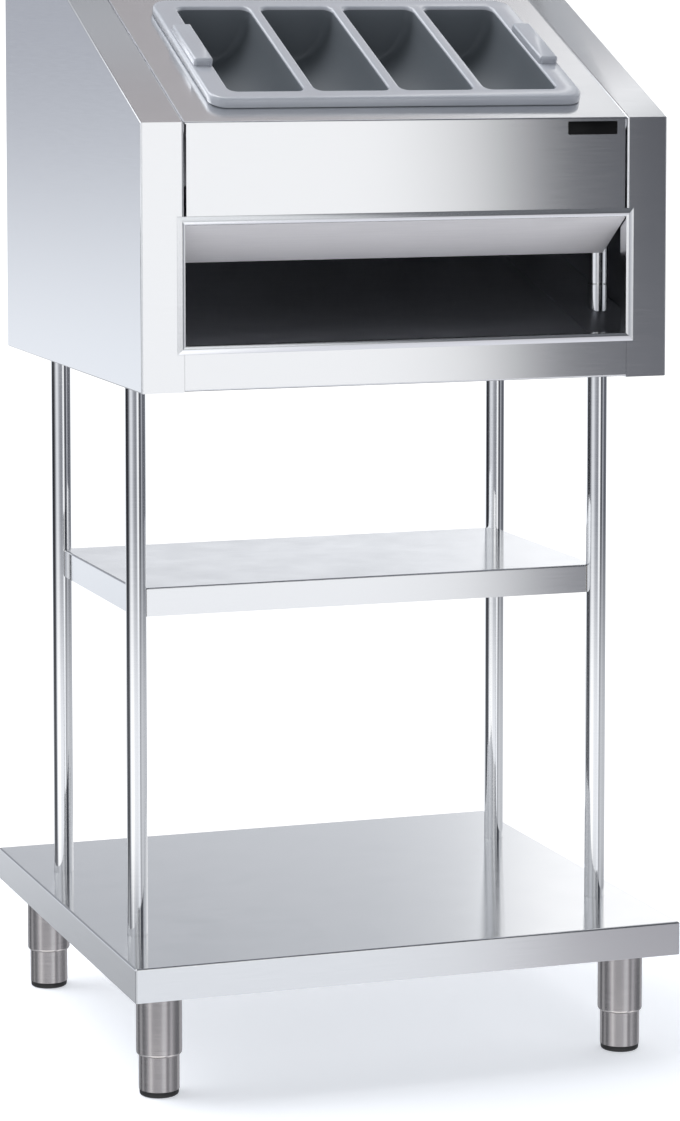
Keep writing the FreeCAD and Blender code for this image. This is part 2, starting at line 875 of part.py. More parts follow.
def make_handle():
    """Bow of round bar on the lid."""
    y = lid_front + handle_from_front
    foot = head_top + seat_gap + lid_height
    half = handle_length / 2
    rise = handle_height - handle_rod
    bend = 3 * handle_rod
    corner = bend * (1 - math.sqrt(0.5))
    points = [
        FreeCAD.Vector(-half, y, foot),
        FreeCAD.Vector(-half, y, foot + rise - bend),
        FreeCAD.Vector(-half + corner, y, foot + rise - corner),
        FreeCAD.Vector(-half + bend, y, foot + rise),
        FreeCAD.Vector(half - bend, y, foot + rise),
        FreeCAD.Vector(half - corner, y, foot + rise - corner),
        FreeCAD.Vector(half, y, foot + rise - bend),
        FreeCAD.Vector(half, y, foot),
    ]
    path = Part.Wire([
        Part.LineSegment(points[0], points[1]).toShape(),
        Part.Arc(points[1], points[2], points[3]).toShape(),
        Part.LineSegment(points[3], points[4]).toShape(),
        Part.Arc(points[4], points[5], points[6]).toShape(),
        Part.LineSegment(points[6], points[7]).toShape(),
    ])
    section = Part.Wire([Part.makeCircle(handle_rod, points[0], FreeCAD.Vector(0, 0, 1))])
    bow = path.makePipeShell([section], True, False)
    holes = [
        rod(x, y, foot - 1, foot + handle_screw_depth, handle_screw_radius + running_gap)
        for x in (-half, half)
    ]
    return cut_all(bow, holes)


def make_handle_screws():
    y = lid_front + handle_from_front
    under = head_top + seat_gap + lid_height - sheet
    screws = []
    for x in (-handle_length / 2, handle_length / 2):
        head = rod(x, y, under - handle_screw_head / 2, under, handle_screw_head)
        shank = rod(x, y, under, under + handle_screw_depth, handle_screw_radius)
        screws.append(joined([head, shank]))
    return group(screws)


# ---- Cutlery container -----------------------------------------------------------------------

def pocket_spans():
    """X spans of the four compartments, side by side between the two ends of the rim."""
    start = end_rim - container_length / 2
    width = (container_length - 2 * end_rim - 3 * divider) / 4
    return [(start + i * (width + divider), start + i * (width + divider) + width)
            for i in range(4)]


def make_pocket(x0, x1, top, grow):
    """One compartment, scooped up at the front and the back, or its outside if it is grown."""
    half = container_width / 2 - side_rim + grow
    scoop = pocket_scoop + grow
    bottom = pocket_wall - container_depth - grow
    outline = [(-half, top), (-half, bottom), (half, bottom), (half, top)]
    scooped = prism_x(outline, x0 - grow, x1 + grow, [0, scoop, scoop, 0])
    plan = block((x1 - x0) / 2 + grow, half, bottom - 1, top + 1, pocket_corner + grow)
    plan.translate(FreeCAD.Vector((x0 + x1) / 2, 0, 0))
    return scooped.common(plan)


def make_grip(sx, top):
    """Raised grip on a short side of the rim, open below its outer edge."""
    inner = container_length / 2 - end_rim - grip_overhang
    outer = inner + grip_width
    half = grip_length / 2
    low = top - rim_wall / 2
    high = top + grip_height
    body = box(inner, outer, -half, half, low, high)
    body = rounded_edges(body, grip_round, lambda e: at_height(high)(e) or upright_edge(e))
    slot = box(outer - grip_slot, outer + 1, -half - 1, half + 1, top, top + grip_slot_height)
    body = body.cut(slot)
    return body if sx > 0 else mirrored(body)


def make_container():
    """Moulded container: a rim with a skirt, a locating rib below it and four hung pockets."""
    length = container_length / 2
    width = container_width / 2
    skirt = seat_gap
    top = seat_gap + rim_height
    under_plate = top - rim_wall
    rim = block(length, width, skirt, top, container_corner)
    under_rim = block(length - rim_wall, width - rim_wall, skirt - 1, under_plate,
                      container_corner - rim_wall)
    rib = block(locating_x, locating_y, -locating_depth, under_plate, locating_corner)
    in_rib = block(locating_x - pocket_wall, locating_y - pocket_wall, -locating_depth - 1,
                   under_plate + 1, locating_corner - pocket_wall)
    cups = [make_pocket(x0, x1, under_plate, pocket_wall) for x0, x1 in pocket_spans()]
    body = joined([rim.cut(under_rim), rib.cut(in_rib)] + cups)
    pockets = [make_pocket(x0, x1, top + 1, 0) for x0, x1 in pocket_spans()]
    body = cut_all(body, pockets)
    body = rounded_edges(body, rim_round, at_height(top))
    return joined([body] + [make_grip(sx, top) for sx in (-1, 1)])


# ---- Output ----------------------------------------------------------------------------------

os.makedirs("parts", exist_ok=True)

save("base_shelf", make_base_shelf())
rib_half = base_width / 2 - rib_end_gap
save("base_ribs", group([
    make_rib(place, base_under, base_rib_width, base_rib_height, rib_half)
    for place in (-base_rib_y, base_rib_y)
]))
save("leg_plates", group([make_leg_plate(sx, sy) for sx, sy in corners]))
save("leg_bushes", group([make_bush(sx, sy) for sx, sy in corners]))
for sx, sy in corners:
    save("leg_" + corner_name(sx, sy), make_leg(sx, sy))
    save("foot_sleeve_" + corner_name(sx, sy), make_sleeve(sx, sy))
    save("foot_spindle_" + corner_name(sx, sy), make_spindle(sx, sy))
    save("foot_glide_" + corner_name(sx, sy), make_glide(sx, sy))
    save("upright_" + corner_name(sx, sy), make_upright(sx, sy))
    save("head_post_" + corner_name(sx, sy), make_post(sx, sy))
save("upright_plates", group([make_upright_plate(sx, sy) for sx, sy in corners]))
save("upright_base_plugs", group([make_base_plug(sx, sy) for sx, sy in corners]))
save("upright_bolts", group([make_base_bolt(sx, sy) for sx, sy in corners]))
save("upright_washers", group([make_base_washer(sx, sy) for sx, sy in corners]))
save("tube_connectors", group([make_connector(sx, sy) for sx, sy in corners]))
save("post_plugs", group([make_post_plug(sx, sy) for sx, sy in corners]))
save("post_bolts", group([make_post_bolt(sx, sy) for sx, sy in corners]))
right_brackets = [make_bracket(sy) for sy in (-1, 1)]
save("post_brackets", group(right_brackets + [mirrored(b) for b in right_brackets]))

save("glass_shelf", make_glass_shelf())
shelf_rib_half = upright_x - rib_end_gap
save("glass_shelf_rib",
     make_rib(0, shelf_under, shelf_rib_width, shelf_rib_height, shelf_rib_half))

right_side = make_side_panel()
save("side_panel_right", right_side)
save("side_panel_left", mirrored(right_side))
save("front_rail", make_front_rail())
save("cutlery_deck", make_deck())
save("top_panel", make_top_panel())
ledge = make_deck_ledge()
save("deck_ledges", group([ledge, mirrored(ledge)]))
save("underside_panel", make_underside())
save("back_panel", make_back_panel())
save("back_panel_screws", make_back_screws())
save("bread_floor", make_bread_floor())
floor_angle = make_floor_ledge()
save("bread_floor_ledges", group([floor_angle, mirrored(floor_angle)]))
save("opening_trim", make_trim())
save("name_plate", make_name_plate())

save("bread_lid", make_lid())
save("lid_hinge_fixed_leaf", make_fixed_leaf())
save("lid_hinge_moving_leaf", make_lid_leaf())
save("lid_hinge_pin", make_hinge_pin())
save("lid_handle", make_handle())
save("lid_handle_screws", make_handle_screws())

save("cutlery_container", on_deck(make_container(), container_middle))
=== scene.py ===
import math

import bmesh
import bpy
from mathutils import Matrix, Vector


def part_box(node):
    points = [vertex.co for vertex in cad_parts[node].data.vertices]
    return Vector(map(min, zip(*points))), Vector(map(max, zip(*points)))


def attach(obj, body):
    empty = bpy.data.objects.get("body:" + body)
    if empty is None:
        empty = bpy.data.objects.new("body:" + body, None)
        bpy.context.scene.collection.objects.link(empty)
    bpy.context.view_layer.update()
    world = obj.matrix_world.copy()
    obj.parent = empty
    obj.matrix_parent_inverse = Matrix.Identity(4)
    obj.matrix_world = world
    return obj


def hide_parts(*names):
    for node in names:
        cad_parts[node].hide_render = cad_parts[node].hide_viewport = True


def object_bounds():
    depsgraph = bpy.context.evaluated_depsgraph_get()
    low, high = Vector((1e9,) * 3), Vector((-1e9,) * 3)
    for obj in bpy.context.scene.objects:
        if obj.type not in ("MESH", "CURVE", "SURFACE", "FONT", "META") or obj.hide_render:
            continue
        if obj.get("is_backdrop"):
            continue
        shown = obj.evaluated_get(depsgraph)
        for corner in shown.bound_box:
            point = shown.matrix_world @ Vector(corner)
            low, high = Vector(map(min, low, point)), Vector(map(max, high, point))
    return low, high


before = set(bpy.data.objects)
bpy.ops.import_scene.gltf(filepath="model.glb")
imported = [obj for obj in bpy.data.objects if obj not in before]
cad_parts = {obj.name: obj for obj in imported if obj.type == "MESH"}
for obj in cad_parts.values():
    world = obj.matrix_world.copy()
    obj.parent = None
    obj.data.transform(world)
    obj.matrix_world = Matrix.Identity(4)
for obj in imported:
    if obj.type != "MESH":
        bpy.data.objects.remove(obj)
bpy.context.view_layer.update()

# ---- Base shelf ------------------------------------------------------------------------------
# Tray for the food trays, folded from one stainless sheet with its corners welded and ground.
# Two top-hat ribs, the plates of the legs and the plates of the uprights are welded underneath.

MM = 0.001
SWELL = 250.0   # mm from one swell of a rolled sheet to the next


def colour(text):
    """Linear colour of an sRGB hex value."""
    parts = [int(text[i:i + 2], 16) / 255 for i in (0, 2, 4)]
    return [p / 12.92 if p <= 0.04045 else ((p + 0.055) / 1.055) ** 2.4 for p in parts] + [1.0]


def add(tree, kind, settings=None, values=None, links=None):
    """Adds a node with its settings, its sockets' values and the links into it."""
    node = tree.nodes.new(kind)
    for name, value in (settings or {}).items():
        setattr(node, name, value)
    for socket, value in (values or {}).items():
        node.inputs[socket].default_value = value
    for socket, source in (links or {}).items():
        tree.links.new(source, node.inputs[socket])
    return node


def steel(name, light, dark, roughness, spread, grain_length, grain_width, grain, wave):
    """Stainless steel whose fine scratches run level: they blur a reflection up and down, and
    leave it crisp from side to side. Lengths are in millimetres; grain is how much the scratches
    change the roughness, and wave is how far the sheet swells."""
    material = bpy.data.materials.new(name)
    material.use_nodes = True
    tree = material.node_tree
    shader = tree.nodes["Principled BSDF"]
    shader.inputs["Metallic"].default_value = 1.0
    shader.inputs["Anisotropic"].default_value = spread
    place = add(tree, "ShaderNodeTexCoord").outputs["Object"]
    # Scratches: long and level on every face, drawn a little coarser than real grit.
    along = 1 / (grain_length * MM)
    across = 1 / (grain_width * MM)
    stretched = add(tree, "ShaderNodeMapping", values={"Scale": (along, along, across)},
                    links={"Vector": place})
    lines = add(tree, "ShaderNodeTexNoise", values={"Scale": 1.0, "Detail": 3.0, "Roughness": 0.6},
                links={"Vector": stretched.outputs["Vector"]})
    # The rolled sheet isn't quite flat, so long reflections bend a little.
    swell = add(tree, "ShaderNodeTexNoise", values={"Scale": 1 / (SWELL * MM), "Detail": 1.0},
                links={"Vector": place})
    tone = add(tree, "ShaderNodeMix", {"data_type": "RGBA"},
               values={"A": colour(dark), "B": colour(light)},
               links={"Factor": lines.outputs["Fac"]})
    dull = add(tree, "ShaderNodeMapRange",
               values={"To Min": roughness * (1 - grain), "To Max": roughness * (1 + grain)},
               links={"Value": lines.outputs["Fac"]})
    bent = add(tree, "ShaderNodeBump", values={"Strength": 1.0, "Distance": wave * MM},
               links={"Height": swell.outputs["Fac"]})
    # The scratches' direction lies level in the face; on a level face they run from side to side.
    facing = add(tree, "ShaderNodeNewGeometry").outputs["Normal"]
    level = add(tree, "ShaderNodeVectorMath", {"operation": "CROSS_PRODUCT"},
                values={1: (0.0, 0.0, 1.0)}, links={0: facing})
    run = add(tree, "ShaderNodeVectorMath", {"operation": "ADD"},
              values={1: (0.02, 0.0, 0.0)}, links={0: level.outputs["Vector"]})
    blur = add(tree, "ShaderNodeVectorMath", {"operation": "CROSS_PRODUCT"},
               links={0: run.outputs["Vector"], 1: facing})
    for socket, source in (
        ("Base Color", tone.outputs["Result"]),
        ("Roughness", dull.outputs["Result"]),
        ("Normal", bent.outputs["Normal"]),
        ("Tangent", blur.outputs["Vector"]),
    ):
        tree.links.new(source, shader.inputs[socket])
    return material


def finish_node(node, material):
    """Gives a carried-over node its material."""
    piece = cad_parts[node]
    piece.data.materials.clear()
    piece.data.materials.append(material)


# Satin stainless sheet (1.4301), rolled and brushed along its length with fine grit: it mirrors
# the room in long soft streaks, up and down.
satin_sheet = steel("satin stainless sheet", "E8E9EB", "DEDFE1", roughness=0.125, spread=1.0,
                    grain_length=60, grain_width=0.9, grain=0.25, wave=0.03)
# The same sheet in mill finish, used where it isn't seen: duller and with no grain to speak of.
mill_sheet = steel("mill finish stainless sheet", "C9CACE", "BDBEC3", roughness=0.26, spread=0.2,
                   grain_length=20, grain_width=3, grain=0.15, wave=0.2)

finish_node("base_shelf", satin_sheet)
for name in ("base_ribs", "leg_plates", "upright_plates"):
    finish_node(name, mill_sheet)

# ---- Legs and feet ---------------------------------------------------------------------------
# Each leg is a brushed stainless tube with its lower end drawn in. A thinner sleeve slides in it
# and turns on a threaded spindle, so the foot can be levelled; a black glide is pressed on below.

CORNERS = ("front_left", "front_right", "rear_left", "rear_right")
TOUCH = 0.001           # points nearer than this are one


def turned(outline, steps=72):
    """Round shape about the upright axis, from a closed outline of (radius, height)."""
    shape = bmesh.new()
    dots = [shape.verts.new((radius, 0.0, height)) for radius, height in outline]
    lines = [shape.edges.new(pair) for pair in zip(dots, dots[1:])]
    if outline[0][0] > 0:
        lines.append(shape.edges.new((dots[-1], dots[0])))
    bmesh.ops.spin(shape, geom=dots + lines, cent=(0, 0, 0), axis=(0, 0, 1),
                   angle=2 * math.pi, steps=steps, use_merge=True)
    bmesh.ops.remove_doubles(shape, verts=shape.verts, dist=TOUCH)
    bmesh.ops.recalc_face_normals(shape, faces=shape.faces)
    return shape


def finished(name, shape, material, body, stands_for=(), place=Matrix(), sharp=35):
    """Makes a piece of a shape drawn in millimetres and lets it ride on a body."""
    bmesh.ops.transform(shape, matrix=Matrix.Scale(MM, 4) @ place, verts=shape.verts)
    shape.normal_update()
    for edge in shape.edges:
        edge.smooth = edge.calc_face_angle(math.pi) < math.radians(sharp)
    mesh = bpy.data.meshes.new(name)
    shape.to_mesh(mesh)
    shape.free()
    if mesh.has_custom_normals:
        mesh.attributes.remove(mesh.attributes["custom_normal"])
    mesh.materials.append(material)
    mesh.shade_smooth()
    made = bpy.data.objects.new(name, mesh)
    bpy.context.scene.collection.objects.link(made)
    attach(made, body)
    if stands_for:
        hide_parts(*stands_for)
    return made


def extent(node):
    """A node's box in millimetres: centre in plan, lowest and highest, and half its width."""
    low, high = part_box(node)
    centre = (low + high) / 2 / MM
    return centre.x, centre.y, low.z / MM, high.z / MM, (high.x - low.x) / 2 / MM


# Welded stainless tube, brushed round with a belt: a warm, dull shine in broad upright stripes.
leg_tube = steel("brushed stainless tube", "CAC6C6", "B4B0AF", roughness=0.21, spread=0.7,
                 grain_length=40, grain_width=0.9, grain=0.3, wave=0.0)
# Zinc plated steel of spindles, bolts, plugs and screws: an even, slightly cloudy shine.
bright_steel = steel("bright plated steel", "C9C9C7", "B5B5B3", roughness=0.22, spread=0.0,
                     grain_length=8, grain_width=2, grain=0.3, wave=0.0)

CLOUD = 60.0        # mm across a cloud of slightly different colour in a moulding
PIT_SPREAD = 0.15   # how much a moulding's grain changes its roughness
SKIN = 0.4          # a moulding's glossy skin, where it has one, is smoother by this factor


def plastic(name, light, dark, roughness, grain, height, gloss=0.0):
    """Moulded plastic with a spark-eroded grain, its width and height in millimetres. The real
    grain is finer than this: it is drawn as coarse as it needs to show."""
    material = bpy.data.materials.new(name)
    material.use_nodes = True
    tree = material.node_tree
    shader = tree.nodes["Principled BSDF"]
    shader.inputs["Coat Weight"].default_value = gloss
    shader.inputs["Coat Roughness"].default_value = SKIN * roughness
    place = add(tree, "ShaderNodeTexCoord").outputs["Object"]
    cloud = add(tree, "ShaderNodeTexNoise", values={"Scale": 1 / (CLOUD * MM), "Detail": 4.0},
                links={"Vector": place})
    pits = add(tree, "ShaderNodeTexNoise", values={"Scale": 1 / (grain * MM), "Detail": 2.0},
               links={"Vector": place})
    tone = add(tree, "ShaderNodeMix", {"data_type": "RGBA"},
               values={"A": colour(dark), "B": colour(light)},
               links={"Factor": cloud.outputs["Fac"]})
    dull = add(tree, "ShaderNodeMapRange",
               values={"To Min": roughness * (1 - PIT_SPREAD),
                       "To Max": roughness * (1 + PIT_SPREAD)},
               links={"Value": pits.outputs["Fac"]})
    rough = add(tree, "ShaderNodeBump", values={"Strength": 0.4, "Distance": height * MM},
                links={"Height": pits.outputs["Fac"]})
    for socket, source in (
        ("Base Color", tone.outputs["Result"]),
        ("Roughness", dull.outputs["Result"]),
        ("Normal", rough.outputs["Normal"]),
    ):
        tree.links.new(source, shader.inputs[socket])
    return material


# Black polyamide of the glides: matt, with a faint grey sheen.
black_moulding = plastic("black polyamide moulding", "1C1C1D", "121213", roughness=0.5,
                         grain=1.2, height=0.05)

LEG_WALL = 1.5
SHOULDER = 2.4          # how far the leg's lower end is drawn in
SHOULDER_ROUND = ((0.0, 1.6), (0.12, 0.9), (0.45, 0.35), (1.0, 0.0))   # in shoulders: in and up
LEG_LIP = 0.5
LEG_LIP_EDGE = 0.2
SLEEVE_EDGE = 0.6
SLEEVE_FLOOR = 3.0
GLIDE_FLANGE = 0.8      # the glide's flange under the sleeve
GLIDE_STEP = 0.5        # below it the glide is slimmer by this much all round
GLIDE_ROUND = ((0.5, 3.2), (1.1, 1.5), (2.6, 0.4), (4.5, 0.0))         # in mm: in and up

for corner in CORNERS:
    x, y, bottom, top, radius = extent("leg_" + corner)
    tube = turned([
        (radius - LEG_WALL, top),
        (radius, top),
        *((radius - inward * SHOULDER, bottom + up * SHOULDER) for inward, up in SHOULDER_ROUND),
        (radius - SHOULDER - LEG_LIP, bottom + LEG_LIP_EDGE),
        (radius - SHOULDER - LEG_LIP, bottom + LEG_WALL),
        (radius - LEG_WALL, bottom + 2 * SHOULDER),
    ])
    finished("leg_tube_" + corner, tube, leg_tube, "stand",
             ["leg_" + corner], Matrix.Translation((x, y, 0)))

    x, y, bottom, top, radius = extent("foot_sleeve_" + corner)
    sleeve = turned([
        (0, bottom),
        (radius - SLEEVE_EDGE, bottom),
        (radius, bottom + SLEEVE_EDGE),
        (radius, top - SLEEVE_EDGE),
        (radius - SLEEVE_EDGE, top),
        (radius - LEG_WALL, top),
        (radius - LEG_WALL, bottom + SLEEVE_FLOOR),
        (0, bottom + SLEEVE_FLOOR),
    ])
    finished("foot_tube_" + corner, sleeve, leg_tube, "foot_" + corner,
             ["foot_sleeve_" + corner], Matrix.Translation((x, y, 0)))

    x, y, bottom, top, radius = extent("foot_glide_" + corner)
    glide = turned([
        (0, top),
        (radius, top),
        (radius, top - GLIDE_FLANGE),
        (radius - GLIDE_STEP, top - (GLIDE_FLANGE + GLIDE_STEP)),
        *((radius - inward, bottom + up) for inward, up in GLIDE_ROUND),
        (0, bottom),
    ])
    finished("glide_" + corner, glide, black_moulding, "foot_" + corner,
             ["foot_glide_" + corner], Matrix.Translation((x, y, 0)))

    finish_node("foot_spindle_" + corner, bright_steel)
finish_node("leg_bushes", bright_steel)

# ---- Uprights --------------------------------------------------------------------------------
# Bright drawn stainless tubes of 28 mm, bolted to the base shelf. Inside the head each one meets
# a short post of the same tube; a plug joins the two and leaves a fine groove between their ends.

# Polished with a felt wheel along the tube: it mirrors the studio in thin, crisp upright lines.
polished_tube = steel("polished stainless tube", "EAEBEC", "DEDFE1", roughness=0.06, spread=0.3,
                      grain_length=200, grain_width=1.5, grain=0.4, wave=0.0)

TUBE_WALL = 1.5
TUBE_EDGE = 0.9

for corner in CORNERS:
    for node, name in (("upright_", "upright_tube_"), ("head_post_", "post_tube_")):
        x, y, bottom, top, radius = extent(node + corner)
        tube = turned([
            (radius - TUBE_WALL, bottom),
            (radius - TUBE_EDGE, bottom),
            (radius, bottom + TUBE_EDGE),
            (radius, top - TUBE_EDGE),
            (radius - TUBE_EDGE, top),
            (radius - TUBE_WALL, top),
        ])
        finished(name + corner, tube, polished_tube, "stand",
                 [node + corner], Matrix.Translation((x, y, 0)))
for name in ("upright_base_plugs", "upright_bolts", "upright_washers", "tube_connectors",
             "post_plugs", "post_bolts"):
    finish_node(name, bright_steel)
finish_node("post_brackets", mill_sheet)

# ---- Glass shelf -----------------------------------------------------------------------------
# Tray for the glasses, folded from satin sheet. Its corners are notched round the uprights, and
# the ends of its flanges are welded to them with short upright beads.

finish_node("glass_shelf", satin_sheet)
finish_node("glass_shelf_rib", mill_sheet)

# Weld metal as it cooled, only wiped: grey, with a straw tint.
weld_metal = steel("weld bead", "A9A39A", "7F7C7C", roughness=0.3, spread=0.0,
                   grain_length=2, grain_width=1, grain=0.3, wave=0.0)
BEAD = 1.5
BEAD_SHAPE = (0.75, 0.75, 0.9)   # each drop of the bead is a little flattened
BEAD_STEP = 2.1
BEAD_START = 0.6                 # in steps, from the flange's lower edge
beads = bmesh.new()
low, high = (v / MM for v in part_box("glass_shelf"))
for corner in CORNERS:
    x, y, _, _, radius = extent("upright_" + corner)
    side = -1 if "left" in corner else 1
    end = -1 if "front" in corner else 1
    seams = (
        (x - side * BEAD / 2, y - end * (radius + BEAD / 3)),
        (x - side * (radius + BEAD / 3), y - end * BEAD / 2),
    )
    for seam_x, seam_y in seams:
        for i in range(int((high.z - low.z) / BEAD_STEP)):
            made = bmesh.ops.create_uvsphere(beads, u_segments=8, v_segments=6, radius=BEAD)
            bmesh.ops.scale(beads, vec=BEAD_SHAPE, verts=made["verts"])
            bmesh.ops.translate(beads, vec=(seam_x, seam_y, low.z + (i + BEAD_START) * BEAD_STEP),
                                verts=made["verts"])
finished("shelf_weld_beads", beads, weld_metal, "stand", sharp=80)

# ---- Head ------------------------------------------------------------------------------------
# Housing for the bread and the cutlery, of folded satin sheet: two side panels carry the front
# rail, the deck with its fascia and hood, the top panel, the bread floor, the back and underside.
# A bevelled frame, mitred at its corners, is glued and tacked round the bread opening.

for name in ("front_rail", "top_panel"):
    finish_node(name, satin_sheet)
for name in ("deck_ledges", "underside_panel", "back_panel", "bread_floor_ledges"):
    finish_node(name, mill_sheet)
finish_node("back_panel_screws", bright_steel)

# The bread floor is the same sheet, dulled with coarser grit, so crumbs and scratches don't show.
dull_sheet = steel("dulled stainless sheet", "C4C6CC", "B0B3BA", roughness=0.42, spread=0.5,
                   grain_length=60, grain_width=1.2, grain=0.2, wave=0.03)
finish_node("bread_floor", dull_sheet)

# Under the fascia the hood is dressed by hand after bending: a soft, almost matt satin. Its colour
# is lighter than the rest of the sheet: painted light, standing in for the light the hood catches
# from below through the opening.
hood_sheet_painted_light = steel("hand dressed satin sheet, painted light", "FAF9FB", "F0EFF2", roughness=0.7, spread=0.3,
                   grain_length=60, grain_width=1.2, grain=0.1, wave=0.03)

SLOPE = math.radians(23.6)
HOOD_TOP = 1171.5       # the hood is what lies below this height, behind the fascia
FASCIA_BACK = -350.4


def level_shading(piece):
    """Keeps flat sheet shaded flat right up to its rounded edges."""
    even = piece.modifiers.new("even shading", "WEIGHTED_NORMAL")
    even.weight = 100
    even.keep_sharp = True


def copied(node):
    """A CAD node's mesh in millimetres, with its loose triangles joined."""
    shape = bmesh.new()
    shape.from_mesh(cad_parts[node].data)
    bmesh.ops.scale(shape, vec=(1 / MM, 1 / MM, 1 / MM), verts=shape.verts)
    bmesh.ops.remove_doubles(shape, verts=shape.verts, dist=2 * TOUCH)
    return shape


# Beside the deck the side panels are folded back, and the round of the fold draws a bright line.
PANEL_EDGE = 313.3      # from the middle of the head to the fold
PANEL_ROUND = 3.0
FOLD_START = 1160.0     # lower down the frame and the rail cover the fold
NEAR = 0.05             # points nearer to a line or a level than this lie on it
SAME_WAY = 0.98         # faces whose normals agree by this cosine look the same way
OUTWARD = (Vector((0, -1, 0)), Vector((0, -math.sin(SLOPE), math.cos(SLOPE))), Vector((0, 0, 1)))

for node, name in (("side_panel_left", "panel_left"), ("side_panel_right", "panel_right")):
    panel = copied(node)
    bmesh.ops.bisect_plane(panel, geom=panel.verts[:] + panel.edges[:] + panel.faces[:],
                           plane_co=(0, 0, FOLD_START), plane_no=(0, 0, 1))
    panel.normal_update()
    fold = [
        e for e in panel.edges
        if all(abs(abs(v.co.x) - PANEL_EDGE) < NEAR and v.co.z > FOLD_START - NEAR
               for v in e.verts)
        and any(f.normal.dot(way) > SAME_WAY for f in e.link_faces for way in OUTWARD)
    ]
    bmesh.ops.bevel(panel, geom=fold, offset=PANEL_ROUND, offset_type="OFFSET",
                    segments=4, profile=0.5, affect="EDGES", material=-1)
    level_shading(finished(name, panel, satin_sheet, "stand", [node]))

deck = copied("cutlery_deck")
# The hood's faces take the second, lighter steel: painted light.
for face in deck.faces:
    middle = face.calc_center_median()
    face.material_index = int(middle.z < HOOD_TOP and middle.y > FASCIA_BACK)
deck_piece = finished("deck_sheet", deck, satin_sheet, "stand", ["cutlery_deck"])
deck_piece.data.materials.append(hood_sheet_painted_light)
level_shading(deck_piece)


def stepped(shape, edges, x, steps):
    """Draws a loop through steps of (half_x, half_y, z), and gives its last edges back."""
    for half_x, half_y, z in steps:
        verts = list({v for e in edges for v in e.verts})
        now_x = max(abs(v.co.x - x) for v in verts)
        now_y = max(abs(v.co.y) for v in verts)
        made = bmesh.ops.extrude_edge_only(shape, edges=edges)["geom"]
        verts = [g for g in made if isinstance(g, bmesh.types.BMVert)]
        edges = [g for g in made if isinstance(g, bmesh.types.BMEdge)]
        bmesh.ops.translate(shape, vec=(-x, 0.0, z - verts[0].co.z), verts=verts)
        bmesh.ops.scale(shape, vec=(half_x / now_x, half_y / now_y, 1.0), verts=verts)
        bmesh.ops.translate(shape, vec=(x, 0.0, 0.0), verts=verts)
    return edges


# Section of the frame: distance out from the opening's edge, and how far it stands proud.
TRIM_SECTION = (
    (11.0, 0.0), (11.0, 0.4), (10.8, 0.65), (10.4, 0.8), (4.7, 2.3), (4.2, 2.4), (3.7, 2.3),
    (0.5, 1.05), (0.12, 0.85), (0.0, 0.5), (0.0, 0.0), (11.0, 0.0),
)
low, high = (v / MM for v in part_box("opening_trim"))
half_x = (high.x - low.x) / 2 - TRIM_SECTION[0][0]
half_z = (high.z - low.z) / 2 - TRIM_SECTION[0][0]
trim = bmesh.new()
made = bmesh.ops.create_grid(trim, x_segments=1, y_segments=1, size=1.0)
bmesh.ops.scale(trim, vec=(half_x + TRIM_SECTION[0][0], half_z + TRIM_SECTION[0][0], 1.0),
                verts=made["verts"])
bmesh.ops.delete(trim, geom=trim.faces[:], context="FACES_ONLY")
stepped(trim, trim.edges[:], 0.0,
        [(half_x + out, half_z + out, proud) for out, proud in TRIM_SECTION[1:]])
bmesh.ops.remove_doubles(trim, verts=trim.verts, dist=TOUCH)
bmesh.ops.recalc_face_normals(trim, faces=trim.faces)
upright = Matrix.Rotation(math.pi / 2, 4, "X")
front = Matrix.Translation((0.0, high.y, (low.z + high.z) / 2)) @ upright
finished("opening_frame", trim, satin_sheet, "stand", ["opening_trim"], front,
         sharp=12)

# The plate is a blank of thin black plastic with rounded corners, stuck on: it hardly shines.
plate_black = plastic("black plastic plate", "0B0B0C", "070708", roughness=0.3,
                      grain=0.8, height=0.01)
plate_black.node_tree.nodes["Principled BSDF"].inputs["Specular IOR Level"].default_value = 0.15
PLATE_LENGTH = 71.5
PLATE_HEIGHT = 18.0
PLATE_DEPTH = 1.2
PLATE_RIGHT = 298.0
PLATE_TOP = 1298.5
PLATE_CORNER = 1.6
PLATE_EDGE = 0.35
plate_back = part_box("name_plate")[1].y / MM
plate = bmesh.new()
made = bmesh.ops.create_cube(plate, size=1.0)["verts"]
bmesh.ops.scale(plate, vec=(PLATE_LENGTH, PLATE_DEPTH, PLATE_HEIGHT), verts=made)
deep_edges = [e for e in plate.edges
              if abs(e.verts[0].co.y - e.verts[1].co.y) > PLATE_DEPTH / 2]
bmesh.ops.bevel(plate, geom=deep_edges, offset=PLATE_CORNER, offset_type="OFFSET",
                segments=6, profile=0.5, affect="EDGES", material=-1)
front_edges = [e for e in plate.edges if max(v.co.y for v in e.verts) < 0]
bmesh.ops.bevel(plate, geom=front_edges, offset=PLATE_EDGE, offset_type="OFFSET",
                segments=2, profile=0.5, affect="EDGES", material=-1)
finished("blank_plate", plate, plate_black, "stand", ["name_plate"],
         Matrix.Translation((PLATE_RIGHT - PLATE_LENGTH / 2, plate_back - PLATE_DEPTH / 2,
                             PLATE_TOP - PLATE_HEIGHT / 2)))

# ---- Bread lid -------------------------------------------------------------------------------
# Folded from the same satin sheet, with its rims turned down all round. It lies over the opening
# in the top panel and lifts on a piano hinge at the back, by a bow handle of bright round bar.

for name in ("bread_lid", "lid_hinge_fixed_leaf", "lid_hinge_moving_leaf"):
    finish_node(name, satin_sheet)
finish_node("lid_handle", polished_tube)
for name in ("lid_hinge_pin", "lid_handle_screws"):
    finish_node(name, bright_steel)

# ---- Cutlery container -----------------------------------------------------------------------
# Gastronorm container moulded in grey polypropylene, with four cups like round-bottomed troughs.
# It hangs by its rim in the deck's cut-out and lifts straight out by the grips on its short sides.

# Light grey polypropylene from a polished mould: a clean gloss with small bright edges.
grey_moulding = plastic("grey polypropylene moulding", "C2C6CE", "BABEC6", roughness=0.24,
                        grain=0.9, height=0.02, gloss=1.0)
